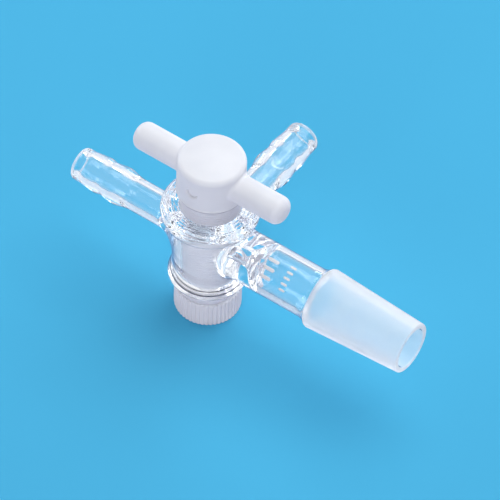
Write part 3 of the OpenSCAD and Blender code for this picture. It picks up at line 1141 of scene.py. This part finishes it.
def build_floor():
    mesh = bpy.data.meshes.new("floor")
    corners = [(-FLOOR, -FLOOR, 0), (FLOOR, -FLOOR, 0), (FLOOR, FLOOR, 0), (-FLOOR, FLOOR, 0)]
    mesh.from_pydata(corners, [], [(0, 1, 2, 3)])
    floor = bpy.data.objects.new("floor", mesh)
    bpy.context.scene.collection.objects.link(floor)
    material, tree, shader, _ = new_material("floor")
    shader.inputs["Roughness"].default_value = 0.9
    shader.inputs["Specular IOR Level"].default_value = 0
    direct, matt, inner = light_history(tree)
    length = tree.nodes.new("ShaderNodeVectorMath")
    length.operation = "LENGTH"
    tree.links.new(object_coords(tree), length.inputs[0])
    distance = length.outputs["Value"]
    # painted shade and light for rays off and through the glass: a darker ground near the part in
    # reflections, a near-white one seen from inside
    far = ramp(tree, distance, *UNDER_PART)
    outside = pick(tree, far, DEEP_BLUE, HORIZON)
    within = pick(tree, far, NEAR_WHITE, SOFTBOX)
    returned = pick(tree, matt, pick(tree, inner, outside, within), PALE)
    # painted light: far ground seen bent by the glass shows as a white softbox
    bent = math_node(tree, "MULTIPLY", inner, ramp(tree, distance, *FAR_GROUND))
    seen = pick(tree, bent, SKY_BLUE, SOFTBOX)
    tree.links.new(pick(tree, direct, returned, seen), shader.inputs["Base Color"])
    mesh.materials.append(material)


def build_world():
    world = bpy.data.worlds.new("studio")
    bpy.context.scene.world = world
    world.use_nodes = True
    tree = world.node_tree
    background = tree.nodes["Background"]
    direct, matt, inner = light_history(tree)
    direction = tree.nodes.new("ShaderNodeTexCoord")
    parts = tree.nodes.new("ShaderNodeSeparateXYZ")
    tree.links.new(direction.outputs["Generated"], parts.inputs["Vector"])
    high = ramp(tree, parts.outputs["Z"], *CEILING)
    room = pick(tree, high, pick(tree, inner, DEEP_BLUE, HORIZON), SOFTBOX)
    room = pick(tree, matt, room, SHADE)
    bent = math_node(tree, "MULTIPLY", inner, ramp(tree, parts.outputs["Z"], *LOW_WALL))
    seen = pick(tree, bent, SKY_BLUE, SOFTBOX)
    tree.links.new(pick(tree, direct, room, seen), background.inputs["Color"])
    level = tree.nodes.new("ShaderNodeMix")
    level.data_type = "FLOAT"
    level.inputs["A"].default_value = ROOM_LEVEL
    level.inputs["B"].default_value = MATT_LEVEL
    tree.links.new(matt, level.inputs["Factor"])
    tree.links.new(level.outputs["Result"], background.inputs["Strength"])


build_floor()
build_world()

# ---- lamps and camera ----

LAMP_TARGET = np.array((0, 0, 0.02))
AZIMUTH, ELEVATION, ROLL = math.radians(33.77), math.radians(50.05), math.radians(-2.18)
SHIFT_X, SHIFT_Y, DISTANCE = -9.29, 3.38, 1500.0  # mm, from the arms' crossing
LENS, SENSOR = 469.548, 36.0


def placed(x, y, z, place):
    """Matrix of an object at a place, with its axes along x, y and z."""
    return Matrix([(x[i], y[i], z[i], place[i]) for i in range(3)] + [(0, 0, 0, 1)])


def area_light(name, place, size, power):
    lamp = bpy.data.lights.new(name, "AREA")
    lamp.shape = "RECTANGLE"
    lamp.size, lamp.size_y = size
    lamp.energy = power
    obj = bpy.data.objects.new(name, lamp)
    bpy.context.scene.collection.objects.link(obj)
    z = np.array(place, float) - LAMP_TARGET
    z /= np.linalg.norm(z)
    x = np.cross((0, 0, 1), z)
    x /= np.linalg.norm(x)
    obj.matrix_world = placed(x, np.cross(z, x), z, place)


def build_camera():
    right = np.array((math.cos(AZIMUTH), math.sin(AZIMUTH), 0))
    level = math.cos(ELEVATION)
    ahead = np.array((-math.sin(AZIMUTH) * level, math.cos(AZIMUTH) * level, -math.sin(ELEVATION)))
    up = np.cross(right, ahead)
    c, s = math.cos(ROLL), math.sin(ROLL)
    x, y, z = c * right - s * up, s * right + c * up, -ahead
    place = DISTANCE * z - SHIFT_X * x - SHIFT_Y * y + np.array((0, 0, ARM_Z))
    data = bpy.data.cameras.new("camera")
    data.sensor_width = SENSOR
    data.lens = LENS
    data.clip_start = 0.01
    data.clip_end = 50
    camera = bpy.data.objects.new("camera", data)
    bpy.context.scene.collection.objects.link(camera)
    camera.matrix_world = placed(x, y, z, place * MM)
    bpy.context.scene.camera = camera


area_light("overhead", (0.1, 0.45, 1.05), (1.1, 0.9), 8.7)
area_light("front", (0.3, -1.0, 0.34), (0.8, 0.4), 4.0)
area_light("left", (-1.0, 0.15, 0.26), (0.9, 0.3), 3.2)
area_light("back", (0.1, 1.0, 0.26), (0.9, 0.3), 3.2)
build_camera()

# light is followed through many passes inside the glass, or its folds would go black
bounces = bpy.context.scene.cycles
bounces.max_bounces = 32
bounces.glossy_bounces = 16
bounces.transmission_bounces = 32
bounces.transparent_max_bounces = 32
bpy.context.scene.view_settings.view_transform = "Standard"
